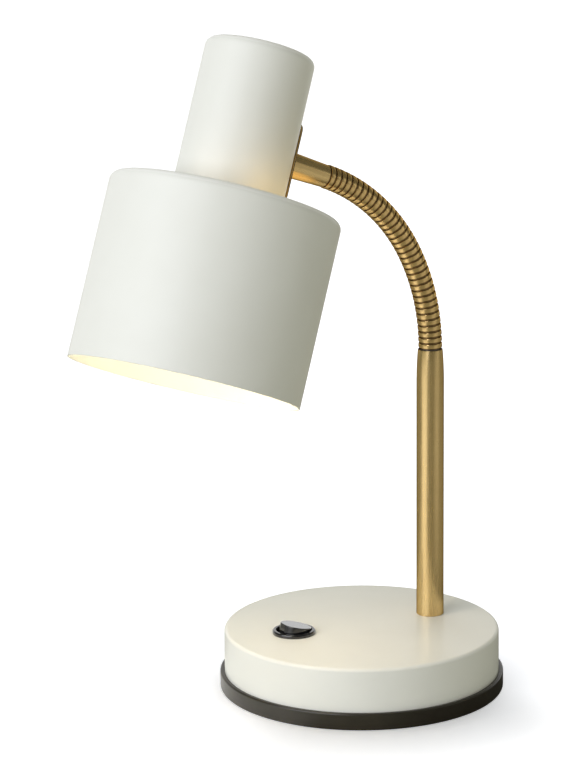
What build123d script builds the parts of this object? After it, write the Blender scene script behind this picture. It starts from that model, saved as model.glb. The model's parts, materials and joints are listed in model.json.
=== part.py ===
from build123d import *

import os
from math import cos, radians, sin, sqrt

# Table lamp: cream drum shade on a brass gooseneck, brass post and weighted round base.
# Millimetres. +Z is up, the origin is the centre of the flat underside,
# +X points from there to the post, and the arm bends in the XZ plane towards -X.

# Clearances
thread_gap = 0.02
slip_gap = 0.1
running_gap = 0.05

# Base
tray_radius = 77.5
tray_rim = 2.4
tray_height = 9.2
tray_floor = 2.5
tray_rounding = 1.0
shell_radius = tray_radius - tray_rim - slip_gap
shell_wall = 1.5
shell_top = 33.0
shell_rounding = 2.0
weight_height = 14.0
weight_gap = 1.0

# Tie between shell and weight
tie_radius = 3.0
tie_spacer_radius = 6.0
tie_nut_flats = 10.0
tie_nut_height = 4.6
tie_washer_radius = 6.5
tie_washer_thickness = 1.2

# Tray screws
screw_circle = 58.0
screw_count = 3
screw_start_angle = 90.0
screw_radius = 1.75
screw_head_radius = 3.4
screw_head_height = 1.8
screw_length = 11.0
screw_recess = 0.4

# Post
post_offset = 43.7
post_radius = 7.5
post_bore = 5.9
post_top = 183.4
post_top_radius = 6.7
post_taper = 19.0
post_plug_height = 22.0

# Threaded tube, washer and nut under the post
nipple_radius = 5.0
nipple_bore = 3.6
nipple_drop = 9.0
nipple_grip = 18.0
post_washer_radius = 11.0
washer_thickness = 1.5
lock_nut_flats = 14.0
lock_nut_height = 4.0

# Switch
switch_x = -38.3
switch_y = 6.5
bezel_radius = 11.7
bezel_height = 2.0
bezel_rounding = 0.8
barrel_radius = 10.5
barrel_wall = 0.65
barrel_depth = 15.0
barrel_floor = 2.0
clip_width = 5.0
clip_height = 3.0
clip_reach = 0.8
rocker_tilt = 12.0
rocker_radius = 8.5
rocker_half_length = 8.1
rocker_above_pivot = 5.9
rocker_below_pivot = 3.5
rocker_foot_radius = 7.0
rocker_rounding = 0.4
pivot_depth = 1.45
trunnion_radius = 1.2
trunnion_inset = 0.3
terminal_width = 4.8
terminal_thickness = 0.8
terminal_length = 7.0
terminal_spacing = 9.0
switch_pocket_gap = 2.5

# Terminal block for the mains lead
block_x = 4.0
block_y = 42.0
block_length = 20.0
block_width = 14.0
block_height = 11.0
block_screw_radius = 1.9
block_screw_depth = 5.0
block_screw_spacing = 10.0

# Inlet for the mains lead, at the back of the base
inlet_bore = 3.6
inlet_barrel_radius = 5.4
inlet_flange_radius = 6.4
inlet_flange = 1.6

# Gooseneck: two tangent arcs from the post's top, ribbed, jointed into short links
first_radius = 116.8
first_angle = 26.7
second_radius = 95.8
second_angle = 42.8
link_count = 12
ribs_per_link = 3
rib_radius = 6.45
rib_shoulder_drop = 0.15
groove_depth = 0.55
neck_bore = 3.2
joint_gap = 1.2
ball_radius = 4.6
ball_reach = 2.0
link_swing = 9.5
socket_floor_gap = 0.3
root_tenon_length = 12.0
end_tenon_length = 4.0

# Ferrule and plate between gooseneck and head
ferrule_length = 24.2
ferrule_root_radius = 6.9
ferrule_tip_radius = 6.05
plate_thickness = 0.8
plate_width = 18.4
plate_length = 42.0
plate_rounding = 4.0

# Head: drum, neck cup and their lean
head_roll = 8.8
drum_radius = 61.0
drum_height = 98.2
cup_radius = 29.0
cup_height = 79.4
sheet = 0.8
head_rounding = 4.5
arm_above_drum = 26.4
ring_height = 12.0
ring_flange = 6.0
ring_wall = 1.2

# Fastening of the arm inside the cup
arm_nipple_radius = 4.0
arm_nipple_bore = 2.6
arm_nut_flats = 12.0
saddle_size = 14.0
saddle_depth = 2.0

# Lampholder and its bracket
bracket_thickness = 1.5
bracket_width = 14.0
bracket_rise = 26.0
bracket_foot = 8.0
bracket_overhang = 9.0
holder_radius = 14.0
holder_length = 44.5
holder_wall = 1.6
holder_crown = 3.0
holder_rounding = 3.0
holder_thread_end = 3.0
insert_height = 8.0
screw_shell_radius = 7.7
screw_shell_wall = 0.5
screw_shell_length = 26.0
contact_radius = 1.8
contact_length = 4.0

# Bulb
cap_length = 22.0
cap_pip_radius = 2.6
globe_radius = 22.5
globe_drop = 30.0
glass_neck_radius = 8.2
glass_neck_length = 5.0
glass_wall = 1.0
globe_sweep = 130.0

os.makedirs("parts", exist_ok=True)


def save(builder, name):
    """Label a finished piece and write it to its own file."""
    builder.part.label = name
    export_step(builder.part, f"parts/{name}.step")


def section(frame):
    """The half-plane to draw a turned outline in: radius across, the frame's Z upwards."""
    return Plane(origin=frame.origin, x_dir=frame.x_dir, z_dir=-frame.y_dir)


def turned(frame, outline):
    """A solid of revolution about a frame's Z axis, from (radius, height) corners."""
    with BuildPart() as piece:
        with BuildSketch(section(frame)):
            with BuildLine():
                Polyline(*outline, close=True)
            make_face()
        revolve(axis=Axis(frame.origin, frame.z_dir))
    return piece


def ring(frame, hole_radius, outer_radius, thickness):
    """A washer that stands on a frame."""
    with BuildPart() as piece:
        with BuildSketch(frame):
            Circle(outer_radius)
            Circle(hole_radius, mode=Mode.SUBTRACT)
        extrude(amount=thickness)
    return piece


def hex_nut(frame, hole_radius, flats, thickness):
    """A hexagon nut that stands on a frame."""
    with BuildPart() as piece:
        with BuildSketch(frame):
            RegularPolygon(flats / 2, 6, major_radius=False)
            Circle(hole_radius, mode=Mode.SUBTRACT)
        extrude(amount=thickness)
    return piece


# Levels and places in the base
shell_ceiling = shell_top - shell_wall
weight_top = tray_floor + weight_height
weight_radius = shell_radius - shell_wall - weight_gap
tray_bore = shell_radius + slip_gap
nipple_hole = nipple_radius + slip_gap
barrel_hole = barrel_radius + slip_gap
barrel_bore = barrel_radius - barrel_wall
tie_recess_radius = tie_washer_radius + slip_gap
tie_recess_height = tie_nut_height + tie_washer_thickness + slip_gap
inlet_height = (weight_top + shell_ceiling) / 2
inlet_hole = inlet_barrel_radius + slip_gap
inlet_inner_face = sqrt((shell_radius - shell_wall) ** 2 - inlet_flange_radius ** 2)
post_foot = Plane(origin=(post_offset, 0, shell_top))
switch_seat = Plane(origin=(switch_x, switch_y, shell_top))
inlet_axis = Plane(origin=(0, 0, inlet_height), x_dir=(0, 1, 0), z_dir=(1, 0, 0))
tray_screw_places = PolarLocations(screw_circle, screw_count, start_angle=screw_start_angle)

# Base tray: bottom plate with a raised rim round the shell
with BuildPart() as base_tray:
    with BuildSketch():
        Circle(tray_radius)
    extrude(amount=tray_height)
    with BuildSketch(Plane.XY.offset(tray_floor)):
        Circle(tray_bore)
    extrude(amount=tray_height, mode=Mode.SUBTRACT)
    rim_edges = base_tray.edges().filter_by(GeomType.CIRCLE).sort_by(SortBy.RADIUS)[-2:]
    fillet(rim_edges, tray_rounding)
    with BuildSketch():
        with tray_screw_places:
            Circle(screw_radius + slip_gap)
    extrude(amount=tray_floor, mode=Mode.SUBTRACT)
    with BuildSketch():
        with tray_screw_places:
            Circle(screw_head_radius + slip_gap)
    extrude(amount=screw_recess, mode=Mode.SUBTRACT)
    for place in tray_screw_places:
        with BuildSketch(Plane.XY.offset(screw_recess) * place):
            Circle(screw_head_radius + slip_gap)
        with BuildSketch(Plane.XY.offset(screw_recess + screw_head_height) * place):
            Circle(screw_radius + slip_gap)
        loft(mode=Mode.SUBTRACT)
save(base_tray, "base_tray")

# Base shell: turned cup with a rounded top edge, pierced for post, switch and lead
with BuildPart() as base_shell:
    with BuildSketch(Plane.XY.offset(tray_floor)):
        Circle(shell_radius)
    extrude(amount=shell_top - tray_floor)
    fillet(base_shell.faces().sort_by(Axis.Z)[-1].edges(), shell_rounding)
    with BuildSketch(Plane.XY.offset(tray_floor)):
        Circle(shell_radius - shell_wall)
    extrude(amount=shell_ceiling - tray_floor, mode=Mode.SUBTRACT)
    with BuildSketch(post_foot):
        Circle(nipple_hole)
    extrude(amount=-shell_wall, mode=Mode.SUBTRACT)
    with BuildSketch(switch_seat):
        Circle(barrel_hole)
    extrude(amount=-shell_wall, mode=Mode.SUBTRACT)
    with BuildSketch(inlet_axis.offset(shell_radius - 2 * shell_wall)):
        Circle(inlet_hole)
    extrude(amount=3 * shell_wall, mode=Mode.SUBTRACT)
save(base_shell, "base_shell")

# Base weight: disc with a pocket for the switch, a recess for the tie nut and tapped holes
with BuildPart() as base_weight:
    with BuildSketch(Plane.XY.offset(tray_floor)):
        Circle(weight_radius)
        with Locations((switch_x, switch_y)):
            Circle(barrel_radius + switch_pocket_gap, mode=Mode.SUBTRACT)
        Circle(tie_radius + slip_gap, mode=Mode.SUBTRACT)
    extrude(amount=weight_height)
    with BuildSketch(Plane.XY.offset(tray_floor)):
        Circle(tie_recess_radius)
    extrude(amount=tie_recess_height, mode=Mode.SUBTRACT)
    with BuildSketch(Plane.XY.offset(tray_floor)):
        with tray_screw_places:
            Circle(screw_radius + thread_gap)
    extrude(amount=screw_length - tray_floor + screw_recess + slip_gap, mode=Mode.SUBTRACT)
save(base_weight, "base_weight")

# Tie: stud welded under the shell's top, spacer, washer and nut
tie_ceiling = Plane.XY.offset(tray_floor + tie_recess_height)
with BuildPart() as tie_stud:
    with BuildSketch(Plane.XY.offset(tray_floor + slip_gap)):
        Circle(tie_radius)
    extrude(amount=shell_ceiling - tray_floor - slip_gap)
save(tie_stud, "tie_stud")

tie_hole = tie_radius + thread_gap
tie_spacer = ring(Plane.XY.offset(weight_top), tie_hole, tie_spacer_radius, shell_ceiling - weight_top)
save(tie_spacer, "tie_spacer")
tie_washer_seat = tie_ceiling.offset(-tie_washer_thickness)
tie_washer = ring(tie_washer_seat, tie_hole, tie_washer_radius, tie_washer_thickness)
save(tie_washer, "tie_washer")
tie_nut = hex_nut(tie_washer_seat.offset(-tie_nut_height), tie_hole, tie_nut_flats, tie_nut_height)
save(tie_nut, "tie_nut")

# Tray screws: countersunk, from below into the weight
with BuildPart() as tray_screws:
    for place in tray_screw_places:
        with BuildSketch(Plane.XY.offset(screw_recess) * place):
            Circle(screw_head_radius)
        with BuildSketch(Plane.XY.offset(screw_recess + screw_head_height) * place):
            Circle(screw_radius)
        loft()
    with BuildSketch(Plane.XY.offset(screw_recess + screw_head_height)):
        with tray_screw_places:
            Circle(screw_radius)
    extrude(amount=screw_length - screw_head_height)
save(tray_screws, "tray_screws")

# Post: tube with a long soft taper at its top
with BuildPart() as post:
    with BuildSketch(section(post_foot)):
        with BuildLine():
            height = post_top - shell_top
            inside = Polyline((post_radius, 0), (post_bore, 0), (post_bore, height), (post_top_radius, height))
            side = Line((post_radius, 0), (post_radius, height - post_taper))
            TangentArc(side @ 1, inside @ 1, tangent=side % 1)
        make_face()
    revolve(axis=Axis(post_foot.origin, post_foot.z_dir))
save(post, "post")

# Threaded plug in the post's foot, with the nipple, washer and nut that clamp the shell
plug_radius = post_bore - thread_gap
nipple_thread = nipple_radius + thread_gap
post_plug = ring(post_foot, nipple_thread, plug_radius, post_plug_height)
save(post_plug, "post_plug")
nipple_foot = post_foot.offset(-shell_wall - nipple_drop)
post_nipple = ring(nipple_foot, nipple_bore, nipple_radius, shell_wall + nipple_drop + nipple_grip)
save(post_nipple, "post_nipple")
post_washer_seat = post_foot.offset(-shell_wall - washer_thickness)
post_washer = ring(post_washer_seat, nipple_thread, post_washer_radius, washer_thickness)
save(post_washer, "post_washer")
post_nut_seat = post_washer_seat.offset(-lock_nut_height)
post_nut = hex_nut(post_nut_seat, nipple_thread, lock_nut_flats, lock_nut_height)
save(post_nut, "post_nut")

# Switch body: rolled bezel, barrel with a floor, two snap clips and the rocker's bearings
pivot = Vector(switch_x, switch_y, shell_top - pivot_depth)
pivot_axis = Plane(origin=pivot, x_dir=(1, 0, 0), z_dir=(0, 1, 0))
with BuildPart() as switch_body:
    with BuildSketch(switch_seat):
        Circle(bezel_radius)
    extrude(amount=bezel_height)
    fillet(switch_body.faces().sort_by(Axis.Z)[-1].edges(), bezel_rounding)
    with BuildSketch(switch_seat):
        Circle(barrel_radius)
    extrude(amount=-barrel_depth)
    with BuildSketch(switch_seat.offset(-shell_wall)):
        Rectangle(2 * (barrel_hole + clip_reach), clip_width)
    extrude(amount=-clip_height)
    with BuildSketch(switch_seat.offset(barrel_floor - barrel_depth)):
        Circle(barrel_bore)
    extrude(amount=barrel_depth + bezel_height, mode=Mode.SUBTRACT)
    with BuildSketch(pivot_axis):
        Circle(trunnion_radius + running_gap)
    extrude(amount=barrel_radius, both=True, mode=Mode.SUBTRACT)
save(switch_body, "switch_body")

# Rocker: flat-topped key on two trunnions, at rest with its -X end raised
tilt = radians(rocker_tilt)
rocker_frame = Plane(origin=pivot, x_dir=(cos(tilt), 0, -sin(tilt)), z_dir=(sin(tilt), 0, cos(tilt)))
with BuildPart() as switch_rocker:
    with BuildSketch(rocker_frame):
        Circle(rocker_radius)
        Rectangle(2 * rocker_half_length, 2 * rocker_radius, mode=Mode.INTERSECT)
    extrude(amount=rocker_above_pivot)
    rocker_top = switch_rocker.faces().sort_by(Axis(pivot, rocker_frame.z_dir))[-1]
    fillet(rocker_top.edges(), rocker_rounding)
    with BuildSketch(rocker_frame):
        Circle(rocker_foot_radius)
    extrude(amount=-rocker_below_pivot)
    with BuildSketch(pivot_axis):
        Circle(trunnion_radius)
    extrude(amount=barrel_radius - trunnion_inset, both=True)
save(switch_rocker, "switch_rocker")

# Two blade terminals under the switch
with BuildPart() as switch_terminals:
    with BuildSketch(switch_seat.offset(-barrel_depth)):
        with GridLocations(terminal_spacing, 0, 2, 1):
            Rectangle(terminal_thickness, terminal_width)
    extrude(amount=-terminal_length)
save(switch_terminals, "switch_terminals")

# Terminal block on the weight, with its clamp screws
block_top = Plane(origin=(block_x, block_y, weight_top + block_height))
with BuildPart() as terminal_block:
    with BuildSketch(block_top):
        Rectangle(block_length, block_width)
        with GridLocations(block_screw_spacing, 0, 2, 1):
            Circle(block_screw_radius + thread_gap, mode=Mode.SUBTRACT)
    extrude(amount=-block_screw_depth)
    with BuildSketch(block_top.offset(-block_screw_depth)):
        Rectangle(block_length, block_width)
    extrude(amount=block_screw_depth - block_height)
save(terminal_block, "terminal_block")

with BuildPart() as terminal_screws:
    with BuildSketch(block_top.offset(-block_screw_depth)):
        with GridLocations(block_screw_spacing, 0, 2, 1):
            Circle(block_screw_radius)
    extrude(amount=block_screw_depth / 2)
save(terminal_screws, "terminal_screws")

# Inlet grommet: a spool in the back wall of the shell
inlet_outer_face = shell_radius + thread_gap
inlet_grommet = turned(
    inlet_axis,
    [
        (inlet_bore, inlet_inner_face - inlet_flange),
        (inlet_flange_radius, inlet_inner_face - inlet_flange),
        (inlet_flange_radius, inlet_inner_face),
        (inlet_barrel_radius, inlet_inner_face),
        (inlet_barrel_radius, inlet_outer_face),
        (inlet_flange_radius, inlet_outer_face),
        (inlet_flange_radius, inlet_outer_face + inlet_flange),
        (inlet_bore, inlet_outer_face + inlet_flange),
    ],
)
save(inlet_grommet, "inlet_grommet")

# Centre line of the arm
first_length = first_radius * radians(first_angle)
neck_length = first_length + second_radius * radians(second_angle)


def arm_plane(distance):
    """Plane square to the arm, this far along it from the post's top, its X axis steady along +Y."""
    on_first = min(distance, first_length)
    on_second = min(max(distance - first_length, 0), neck_length - first_length)
    on_straight = max(distance - neck_length, 0)
    bend = on_first / first_radius
    turn = bend + on_second / second_radius
    x = post_offset - first_radius * (1 - cos(bend))
    x -= second_radius * (cos(bend) - cos(turn)) + on_straight * sin(turn)
    z = post_top + first_radius * sin(bend)
    z += second_radius * (sin(turn) - sin(bend)) + on_straight * cos(turn)
    return Plane(origin=(x, 0, z), x_dir=(0, 1, 0), z_dir=(-sin(turn), 0, cos(turn)))


# Gooseneck links: ribbed tubes; each ends in a ball that sits in the next one's socket
link_length = (neck_length - (link_count - 1) * joint_gap) / link_count
link_pitch = link_length + joint_gap
groove_radius = rib_radius - groove_depth
shoulder_radius = rib_radius - rib_shoulder_drop
rib_radii = (groove_radius, shoulder_radius, rib_radius, shoulder_radius)
ball_tip = sqrt(ball_radius ** 2 - ball_reach ** 2)
socket_radius = ball_radius + slip_gap
socket_depth = ball_reach + ball_tip * sin(radians(link_swing)) + socket_floor_gap
joints = [arm_plane(number * link_pitch - joint_gap / 2) for number in range(1, link_count)]

for number in range(1, link_count + 1):
    start = (number - 1) * link_pitch
    end = start + link_length
    with BuildPart() as link:
        circles = len(rib_radii) * ribs_per_link
        for step in range(circles + 1):
            with BuildSketch(arm_plane(start + step * link_length / circles)):
                Circle(rib_radii[step % len(rib_radii)])
        loft(ruled=True)
        if number == 1:
            with BuildSketch(arm_plane(start)):
                Circle(post_bore - thread_gap)
            extrude(amount=-root_tenon_length)
        else:
            with BuildSketch(joints[number - 2]):
                Circle(socket_radius)
            extrude(amount=socket_depth, mode=Mode.SUBTRACT)
        if number == link_count:
            with BuildSketch(arm_plane(end)):
                Circle(ball_radius)
            extrude(amount=end_tenon_length)
        else:
            with BuildSketch(section(joints[number - 1])):
                with BuildLine():
                    root = sqrt(ball_radius ** 2 - (joint_gap / 2) ** 2)
                    ThreePointArc((root, -joint_gap / 2), (ball_radius, 0), (ball_tip, ball_reach))
                    Polyline((ball_tip, ball_reach), (0, ball_reach), (0, -joint_gap))
                    Polyline((0, -joint_gap), (root, -joint_gap), (root, -joint_gap / 2))
                make_face()
            revolve(axis=Axis(joints[number - 1].origin, joints[number - 1].z_dir))
        for distance in (start - root_tenon_length, start, (start + end) / 2, end, end + end_tenon_length):
            with BuildSketch(arm_plane(distance)):
                Circle(neck_bore)
        loft(ruled=True, mode=Mode.SUBTRACT)
    save(link, f"gooseneck_link_{number:02d}")

# Ferrule: tapered sleeve from the last link to the plate
ferrule_foot = arm_plane(neck_length)
arm_nipple_thread = arm_nipple_radius + thread_gap
tenon_socket = ball_radius + thread_gap
tenon_depth = end_tenon_length + slip_gap
arm_ferrule = turned(
    ferrule_foot,
    [
        (tenon_socket, 0),
        (ferrule_tip_radius, 0),
        (ferrule_root_radius, ferrule_length),
        (arm_nipple_thread, ferrule_length),
        (arm_nipple_thread, tenon_depth),
        (tenon_socket, tenon_depth),
    ],
)
save(arm_ferrule, "arm_ferrule")

# Head frame: rim centre of the drum, X towards the post, Z up the shade's axis
plate_back = ferrule_foot.offset(ferrule_length)
cup_side = plate_back.offset(plate_thickness + thread_gap)
lean = radians(first_angle + second_angle)
roll = radians(head_roll)
head_axis = Vector(cos(lean) * cos(roll), sin(roll), sin(lean) * cos(roll))
arm_height = drum_height + arm_above_drum
rim_centre = cup_side.origin + cup_side.z_dir * cup_radius - head_axis * arm_height
head = Plane(origin=rim_centre, x_dir=-cup_side.z_dir, z_dir=head_axis)
arm_axis = Plane(origin=rim_centre + head_axis * arm_height, x_dir=head.y_dir, z_dir=head.x_dir)

# Neck plate: flat strip behind the cup, under the ferrule
with BuildPart() as neck_plate:
    with BuildSketch(arm_axis.offset(cup_radius + thread_gap)):
        RectangleRounded(plate_width, plate_length, plate_rounding)
        Circle(arm_nipple_radius + slip_gap, mode=Mode.SUBTRACT)
    extrude(amount=plate_thickness)
save(neck_plate, "neck_plate")

# Shade drum: thin sheet, open below, its top pierced where the cup stands
cup_bore = cup_radius - sheet
with BuildPart() as shade_drum:
    with BuildSketch(head):
        Circle(drum_radius)
    extrude(amount=drum_height)
    drum_top = shade_drum.faces().sort_by(Axis(head.origin, head.z_dir))[-1]
    fillet(drum_top.edges(), head_rounding)
    drum_mouth = shade_drum.faces().sort_by(Axis(head.origin, head.z_dir))[0]
    offset(amount=-sheet, openings=drum_mouth)
    with BuildSketch(head.offset(drum_height)):
        Circle(cup_bore)
    extrude(amount=-2 * sheet, mode=Mode.SUBTRACT)
save(shade_drum, "shade_drum")

# Neck cup: closed cylinder that stands on the drum
with BuildPart() as neck_cup:
    with BuildSketch(head.offset(drum_height)):
        Circle(cup_radius)
    extrude(amount=cup_height)
    cup_top = neck_cup.faces().sort_by(Axis(head.origin, head.z_dir))[-1]
    fillet(cup_top.edges(), head_rounding)
    cup_mouth = neck_cup.faces().sort_by(Axis(head.origin, head.z_dir))[0]
    offset(amount=-sheet, openings=cup_mouth)
    with BuildSketch(arm_axis.offset(cup_radius / 2)):
        Circle(arm_nipple_radius + slip_gap)
    extrude(amount=cup_radius, mode=Mode.SUBTRACT)
save(neck_cup, "neck_cup")

# Joining ring: angle section inside the cup, its flange under the drum's top
ring_radius = cup_bore - thread_gap
ring_bore = ring_radius - ring_wall
ring_ceiling = drum_height - sheet
joining_ring = turned(
    head,
    [
        (ring_bore, ring_ceiling - ring_wall),
        (cup_radius + ring_flange, ring_ceiling - ring_wall),
        (cup_radius + ring_flange, ring_ceiling),
        (ring_radius, ring_ceiling),
        (ring_radius, ring_ceiling + ring_height),
        (ring_bore, ring_ceiling + ring_height),
    ],
)
save(joining_ring, "joining_ring")

# Saddle: block that fits the cup's round wall and gives the bracket a flat seat
saddle_edge = sqrt((cup_bore - thread_gap) ** 2 - (saddle_size / 2) ** 2)
saddle_face = saddle_edge - saddle_depth
with BuildPart() as arm_saddle:
    with BuildSketch(head.offset(arm_height - saddle_size / 2)):
        Circle(cup_bore - thread_gap)
        with Locations((saddle_face, 0)):
            Rectangle(cup_radius, saddle_size, align=(Align.MIN, Align.CENTER), mode=Mode.INTERSECT)
    extrude(amount=saddle_size)
    with BuildSketch(arm_axis):
        Circle(arm_nipple_radius + slip_gap)
    extrude(amount=cup_radius, mode=Mode.SUBTRACT)
save(arm_saddle, "arm_saddle")

# Holder bracket: one leg clamped on the saddle, the other carries the lampholder
bracket_top = arm_height + bracket_rise
with BuildPart() as holder_bracket:
    with BuildSketch(Plane(origin=head.origin, x_dir=head.x_dir, z_dir=-head.y_dir)):
        with BuildLine():
            inner_face = saddle_face - bracket_thickness
            under_side = bracket_top - bracket_thickness
            foot = arm_height - bracket_foot
            Polyline(
                (saddle_face, foot),
                (saddle_face, bracket_top),
                (-bracket_overhang, bracket_top),
                (-bracket_overhang, under_side),
                (inner_face, under_side),
                (inner_face, foot),
                close=True,
            )
        make_face()
    extrude(amount=bracket_width / 2, both=True)
    with BuildSketch(arm_axis):
        Circle(arm_nipple_radius + slip_gap)
    extrude(amount=cup_radius, mode=Mode.SUBTRACT)
    with BuildSketch(head.offset(bracket_top)):
        Circle(nipple_hole)
    extrude(amount=-2 * bracket_thickness, mode=Mode.SUBTRACT)
save(holder_bracket, "holder_bracket")

# Arm nipple and nut: clamp ferrule, plate, cup, saddle and bracket together
arm_nut_face = saddle_face - bracket_thickness
arm_nut = hex_nut(arm_axis.offset(arm_nut_face - lock_nut_height), arm_nipple_thread, arm_nut_flats, lock_nut_height)
save(arm_nut, "arm_nut")
nipple_start = arm_nut_face - lock_nut_height
nipple_end = cup_radius + thread_gap + plate_thickness + ferrule_length - tenon_depth - slip_gap
arm_nipple = ring(arm_axis.offset(nipple_start), arm_nipple_bore, arm_nipple_radius, nipple_end - nipple_start)
save(arm_nipple, "arm_nipple")

# Lampholder body: deep cup under the bracket
holder_top = bracket_top - bracket_thickness
holder_mouth = holder_top - holder_length
holder_bore = holder_radius - holder_wall
with BuildPart() as lampholder_body:
    with BuildSketch(head.offset(holder_mouth)):
        Circle(holder_radius)
    extrude(amount=holder_length)
    crown = lampholder_body.faces().sort_by(Axis(head.origin, head.z_dir))[-1]
    fillet(crown.edges(), holder_rounding)
    with BuildSketch(head.offset(holder_mouth)):
        Circle(holder_bore)
    extrude(amount=holder_length - holder_crown, mode=Mode.SUBTRACT)
    with BuildSketch(head.offset(holder_top)):
        Circle(nipple_thread)
    extrude(amount=-holder_crown, mode=Mode.SUBTRACT)
save(lampholder_body, "lampholder_body")

# Nipple and nut that hold the lampholder to the bracket
holder_nut = hex_nut(head.offset(bracket_top), nipple_thread, lock_nut_flats, lock_nut_height)
save(holder_nut, "holder_nut")
holder_nipple_foot = head.offset(holder_top - holder_crown)
holder_nipple_length = holder_crown + bracket_thickness + lock_nut_height + holder_thread_end
holder_nipple = ring(holder_nipple_foot, nipple_bore, nipple_radius, holder_nipple_length)
save(holder_nipple, "holder_nipple")

# Insert, screw shell and centre contact inside the lampholder
insert_top = holder_top - holder_crown
insert_foot = insert_top - insert_height
holder_insert = ring(head.offset(insert_foot), contact_radius + slip_gap, holder_bore - thread_gap, insert_height)
save(holder_insert, "holder_insert")
shell_bore = screw_shell_radius - screw_shell_wall
shell_foot = insert_foot - screw_shell_length
screw_shell = turned(
    head,
    [
        (shell_bore, shell_foot),
        (screw_shell_radius, shell_foot),
        (screw_shell_radius, insert_foot),
        (2 * contact_radius, insert_foot),
        (2 * contact_radius, insert_foot - screw_shell_wall),
        (shell_bore, insert_foot - screw_shell_wall),
    ],
)
save(screw_shell, "screw_shell")
with BuildPart() as centre_contact:
    with BuildSketch(head.offset(insert_foot - contact_length)):
        Circle(contact_radius)
    extrude(amount=contact_length + insert_height / 2)
save(centre_contact, "centre_contact")

# Bulb: screw cap with its contact pip, and a globe with a short neck
pip_top = insert_foot - contact_length
cap_foot = pip_top - cap_length
cap_radius = shell_bore - slip_gap
cap_shoulder = pip_top - cap_pip_radius
bulb_cap = turned(
    head,
    [
        (0, cap_foot),
        (cap_radius, cap_foot),
        (cap_radius, cap_shoulder),
        (cap_pip_radius, pip_top),
        (0, pip_top),
    ],
)
save(bulb_cap, "bulb_cap")
globe_centre = cap_foot - globe_drop


def bulb_outline(inset):
    """Half outline of the bulb, drawn in by an inset: neck, flowing into a globe, down to the tip."""
    neck_end = (glass_neck_radius - inset, cap_foot - glass_neck_length)
    radius = globe_radius - inset
    Polyline((0, globe_centre - radius), (0, cap_foot), (glass_neck_radius - inset, cap_foot), neck_end)
    globe = CenterArc((0, globe_centre), radius, -90, globe_sweep)
    Spline(neck_end, globe @ 1, tangents=((0, -1), -(globe % 1)))


with BuildPart() as bulb_glass:
    for inset, mode in ((0, Mode.ADD), (glass_wall, Mode.SUBTRACT)):
        with BuildSketch(section(head)):
            with BuildLine():
                bulb_outline(inset)
            make_face()
        revolve(axis=Axis(head.origin, head.z_dir), mode=mode)
save(bulb_glass, "bulb_glass")
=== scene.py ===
import json
from math import acos, asin, atan2, cos, hypot, pi, radians, sin, tan

import bmesh
import bpy
from mathutils import Matrix, Vector

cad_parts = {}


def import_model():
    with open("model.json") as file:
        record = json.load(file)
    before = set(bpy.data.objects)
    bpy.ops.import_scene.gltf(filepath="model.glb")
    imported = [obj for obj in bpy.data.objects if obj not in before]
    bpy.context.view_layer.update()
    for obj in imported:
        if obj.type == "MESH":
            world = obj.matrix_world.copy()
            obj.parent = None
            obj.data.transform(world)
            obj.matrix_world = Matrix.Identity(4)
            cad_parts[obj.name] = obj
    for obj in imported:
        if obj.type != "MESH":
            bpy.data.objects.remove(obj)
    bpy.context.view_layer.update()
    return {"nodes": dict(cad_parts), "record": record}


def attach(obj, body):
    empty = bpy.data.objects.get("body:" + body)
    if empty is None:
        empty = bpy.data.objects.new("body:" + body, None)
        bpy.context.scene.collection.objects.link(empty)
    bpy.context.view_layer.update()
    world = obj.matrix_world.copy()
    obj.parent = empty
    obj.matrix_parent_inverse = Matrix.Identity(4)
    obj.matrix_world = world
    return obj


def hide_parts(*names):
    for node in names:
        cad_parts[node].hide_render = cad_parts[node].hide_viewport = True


# Table lamp: cream drum shade on a brass gooseneck, brass post and weighted round base.
# Lengths are in millimetres, and MM turns them into the frame's metres. The stage is in metres.
MM = 0.001

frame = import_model()
nodes = frame["nodes"]

# Clearances, and how far a drill passes a wall on each side
seat_gap = 0.02
slip_gap = 0.1
drill_reach = 5.0

# Base
tray_radius = 77.5
tray_height = 9.2
tray_floor = 2.5
tray_foot_rounding = 0.9
tray_rim_rounding = 1.0
tray_lip_rounding = 0.35
shell_radius = 75.0
shell_wall = 1.5
shell_top = 33.0
shell_rounding = 2.0
screw_circle = 58.0
screw_count = 3
screw_hole = 1.85
sink_radius = 3.5
sink_rim = 0.4
sink_depth = 2.2
switch_place = (-38.3, 6.5)
switch_hole = 10.6
inlet_height = 24.0
inlet_bore = 3.6
inlet_barrel = 5.4
inlet_flange_radius = 6.4
inlet_flange = 1.6
inlet_inner_face = 73.22
inlet_root_rounding = 0.5
inlet_seat_rounding = 0.2
inlet_lip_rounding = 0.7
inlet_mouth_rounding = 0.6

# Post, with a seam at its top that is painted dark as shade
post_offset = 43.7
post_radius = 7.5
post_bore = 5.9
post_hole = 5.1
post_top = 183.4
post_top_radius = 6.7
post_taper = 19.0
post_taper_steps = 8
post_foot_bevel = 0.25
seam_radius = 6.1
seam_height = 0.6
seam_bevel = 0.15

# Arm: two tangent arcs from the post's top, then a straight ferrule
first_radius = 116.8
first_angle = radians(26.7)
second_radius = 95.8
second_angle = radians(42.8)
link_count = 12
joint_gap = 1.2
ferrule_length = 24.2
ferrule_tip_radius = 6.05
ferrule_tip_bore = 4.7
ferrule_tip_rounding = 0.5
ferrule_root_radius = 6.9
ferrule_root_rounding = 0.3
arm_nipple_hole = 4.1
plate_thickness = 0.8
plate_width = 18.4
plate_length = 42.0
plate_rounding = 4.0
plate_bevel = 0.2
first_length = first_radius * first_angle
neck_length = first_length + second_radius * second_angle
link_pitch = (neck_length + joint_gap) / link_count

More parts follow.
